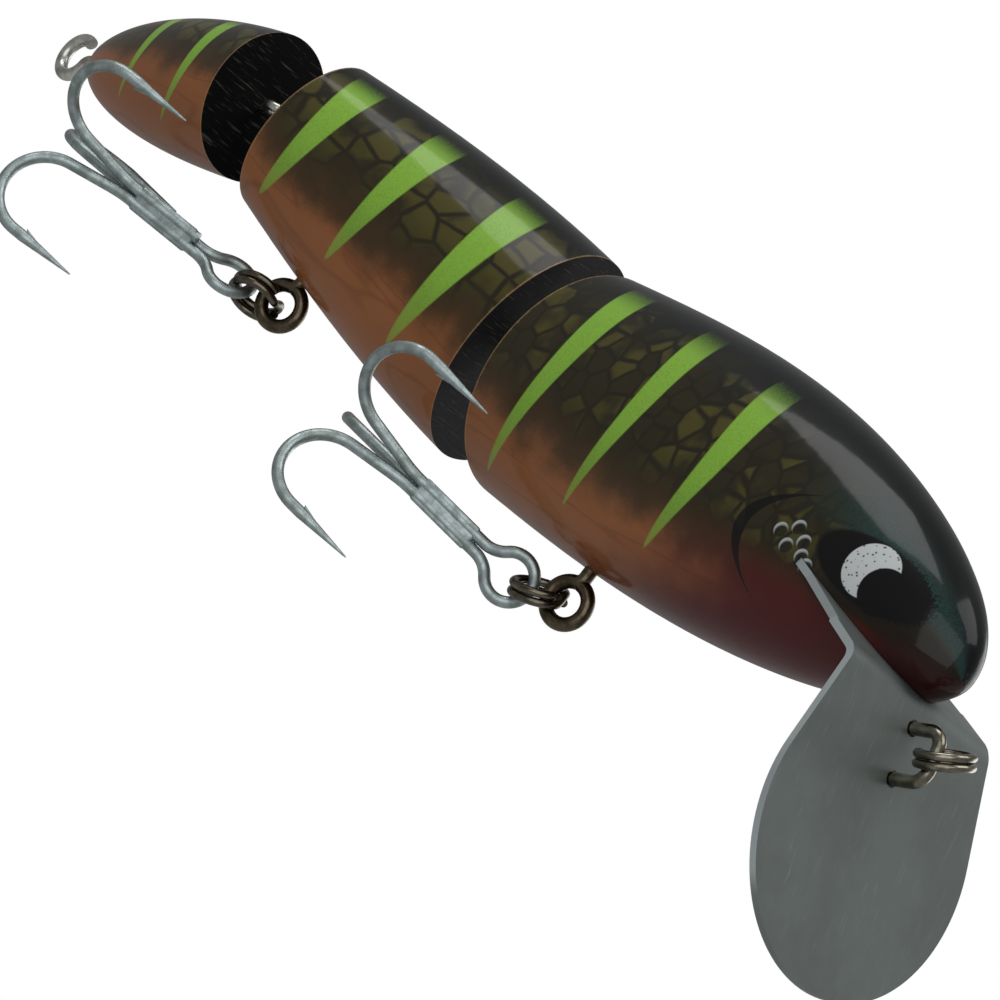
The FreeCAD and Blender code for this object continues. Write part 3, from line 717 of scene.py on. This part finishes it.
# %% Braze between the hooks' wires
for body, (centre, axis, upright) in HOOKS.items():
    bpy.ops.object.select_all(action="DESELECT")
    bpy.ops.mesh.primitive_cylinder_add(vertices=3, radius=BRAZE_CORNER * MM,
                                        depth=(BRAZE_TO - BRAZE_FROM) * MM,
                                        location=(0, 0, 0))
    piece = bpy.context.object
    bpy.ops.object.mode_set(mode="EDIT")
    bpy.ops.transform.translate(value=(0, 0, (BRAZE_TO + BRAZE_FROM) / 2 * MM))
    bpy.ops.mesh.bevel(offset=BRAZE_ROUND * MM, segments=BRAZE_STEPS, affect="EDGES")
    bpy.ops.mesh.select_all(action="SELECT")
    bpy.ops.mesh.normals_make_consistent(inside=False)
    bpy.ops.object.mode_set(mode="OBJECT")
    # the bar stands on its end: its length goes along the shank, and the corner
    # that a three-sided bar has on its own Y goes to the single hook
    x, y = Vector(axis).normalized(), Vector(upright).normalized()
    lay = Matrix((-y, -x.cross(y), x)).transposed().to_4x4()
    set_in_place(piece, Matrix.Translation(Vector(centre) * MM) @ lay, body + "_braze",
                 finishes["satin_tin_plate"], body)

# %% [markdown]
# ## The bib
# The bib is rolled aluminium sheet, sheared to its outline and folded once. It
# is dull, with fine scratches in several directions, and its cut edge is
# brighter. The edge needs no piece of its own: it is where the surface faces
# along neither the blade's nor the tab's own direction.

# %% Bib sheet
SHEET_DARK, SHEET_PALE = "#7b8280", "#868e8c"
SCRATCH_PALE = "#b3b9b8"
CUT_EDGE = "#b9c2c3"
BLADE_OUT = (0.93544, 0.0, 0.35347)
TAB_UNDER = (-0.21985, 0.0, -0.97553)
# in features for each metre: clouds of 11 mm, hairs 6 mm long and 0.26 mm wide,
# which is wider than the real ones, so that they show
CLOUD_FINE = 90.0
HAIR_FINE, HAIR_STRETCH = 160.0, (1.0, 24.0, 1.5)
SCRATCH_TURNS = (0.3, 1.4, 2.3)
SCRATCH_TILT = 0.36
SCRATCH_SHARE = 0.14
SCRATCH_DEEP = 0.03 * MM


def rolled_sheet():
    """Dull rolled sheet with hair scratches and a bright cut edge."""
    material, tree, shader = new_material("rolled_aluminium_sheet")
    place = add(tree, "TexCoord", out="Object")
    cloud = add(tree, "TexNoise", {"Vector": place, "Scale": CLOUD_FINE, "Detail": 4.0})
    scratches = 0.0
    for turn in SCRATCH_TURNS:
        lay = add(tree, "Mapping", {"Vector": place, "Scale": HAIR_STRETCH,
                                    "Rotation": (turn, SCRATCH_TILT, turn)})
        hair = add(tree, "TexNoise", {"Vector": lay, "Scale": HAIR_FINE, "Detail": 1.0})
        hair = mask_of(tree, (hair, 0.70, 0.74))
        scratches = add(tree, "Math", {0: scratches, 1: hair}, operation="MAXIMUM")
    facing = add(tree, "TexCoord", out="Normal")
    flat = 0.0
    for face in (BLADE_OUT, TAB_UNDER):
        along = add(tree, "VectorMath", {0: facing, 1: face}, out="Value",
                    operation="DOT_PRODUCT")
        along = add(tree, "Math", {0: along}, operation="ABSOLUTE")
        flat = add(tree, "Math", {0: flat, 1: along}, operation="MAXIMUM")
    colour = lay_over(tree, SHEET_DARK, SHEET_PALE, (cloud, 0.35, 0.65))
    colour = lay_over(tree, colour, SCRATCH_PALE, scratches, SCRATCH_SHARE)
    fill(tree, shader, {
        "Base Color": lay_over(tree, colour, CUT_EDGE, (flat, 0.45, 0.6, 1.0, 0.0)),
        "Metallic": 0.9,
        "Roughness": mask_of(tree, (cloud, 0.3, 0.7, 0.5, 0.4)),
        "Normal": add(tree, "Bump", {"Height": scratches, "Strength": 0.2,
                                     "Distance": SCRATCH_DEEP})})
    return material


dress("bib", rolled_sheet())

# %% [markdown]
# ## Floor, light and backdrop
# The lure hangs over a plain pale floor, in front of a white world. Both are
# white to the camera without lighting the lure more: where the camera looks,
# white is mixed in, and the light that falls on the lure stays as it is. Four
# soft lamps light it: one above, a large one in front, one from the left side,
# and a small one behind and above that lays the long streak on the clear coat.

# %% Floor
FLOOR_DROP = 0.30
FLOOR_HALF = 1.2
FLOOR_GREY = "#b8b8b8"

bpy.ops.object.select_all(action="DESELECT")
bpy.ops.mesh.primitive_plane_add(size=2 * FLOOR_HALF, location=(0, 0, 0))
floor = bpy.context.object
floor.name = "floor"
for vertex in floor.data.vertices:
    vertex.co.z = box_low.z - FLOOR_DROP
floor_paint, floor_tree, floor_shader = new_material("pale_floor")
fill(floor_tree, floor_shader, {"Base Color": FLOOR_GREY, "Roughness": 0.8})
floor.data.materials.append(floor_paint)
print("floor at", round(box_low.z - FLOOR_DROP, 3), "m")

# %% White behind the lure
# reflections see a share of the white, so that the dark back stays dark
GLOSS_SHARE = 0.12
# the floor is part glow to the camera, and the rest of it takes the shadow
FLOOR_GLOW = 0.72
WORLD_LIGHT = 0.22


def show_white(tree, glow_kind, camera_share, surface, output):
    """Mixes white in where the camera, a reflection or a see-through ray looks."""
    rays = add(tree, "LightPath").node.outputs
    seen = add(tree, "Math", {0: rays["Is Camera Ray"], 1: camera_share},
               operation="MULTIPLY")
    glossy = add(tree, "Math", {0: rays["Is Glossy Ray"], 1: GLOSS_SHARE},
                 operation="MULTIPLY")
    for share in (glossy, rays["Is Transmission Ray"]):
        seen = add(tree, "Math", {0: seen, 1: share}, operation="MAXIMUM")
    white = add(tree, glow_kind, {"Color": "#ffffff", "Strength": 1.0})
    fill(tree, output, {"Surface": add(tree, "MixShader", {0: seen, 1: surface, 2: white})})


world = bpy.data.worlds.new("studio")
bpy.context.scene.world = world
world.use_nodes = True
world_tree = world.node_tree
backdrop = world_tree.nodes["Background"]
fill(world_tree, backdrop, {"Color": "#ffffff", "Strength": WORLD_LIGHT})
show_white(world_tree, "Background", 1.0, backdrop.outputs[0],
           world_tree.nodes["World Output"])
show_white(floor_tree, "Emission", FLOOR_GLOW, floor_shader.outputs[0],
           floor_tree.nodes["Material Output"])
print("world", WORLD_LIGHT, "of white to the lure, 1 to the camera")


# %% Soft lamps
def soft_lamp(name, at, watts, size):
    """A square area lamp that faces the middle of the lure."""
    data = bpy.data.lights.new(name, "AREA")
    data.energy = watts
    data.size = size
    lamp = bpy.data.objects.new(name, data)
    bpy.context.scene.collection.objects.link(lamp)
    lamp.location = Vector(at)
    lamp.rotation_euler = (lure_middle - Vector(at)).to_track_quat("-Z", "Y").to_euler()
    print(name, watts, "W,", size, "m wide")


# name, place in m, watts and size in m
LAMPS = [
    ("lamp_above", (0.3, 0.1, 1.0), 4.0, 0.7),
    ("lamp_front", (0.75, -1.1, 0.45), 9.2, 1.5),
    ("lamp_left", (-0.1, 1.0, 0.1), 3.0, 0.7),
    ("lamp_streak", (-0.46, -0.36, 0.86), 2.8, 0.5),
]
for name, at, watts, size in LAMPS:
    soft_lamp(name, at, watts, size)

# %% [markdown]
# The Standard view shows a colour as it was written.

# %% Colour handling
bpy.context.scene.view_settings.view_transform = "Standard"
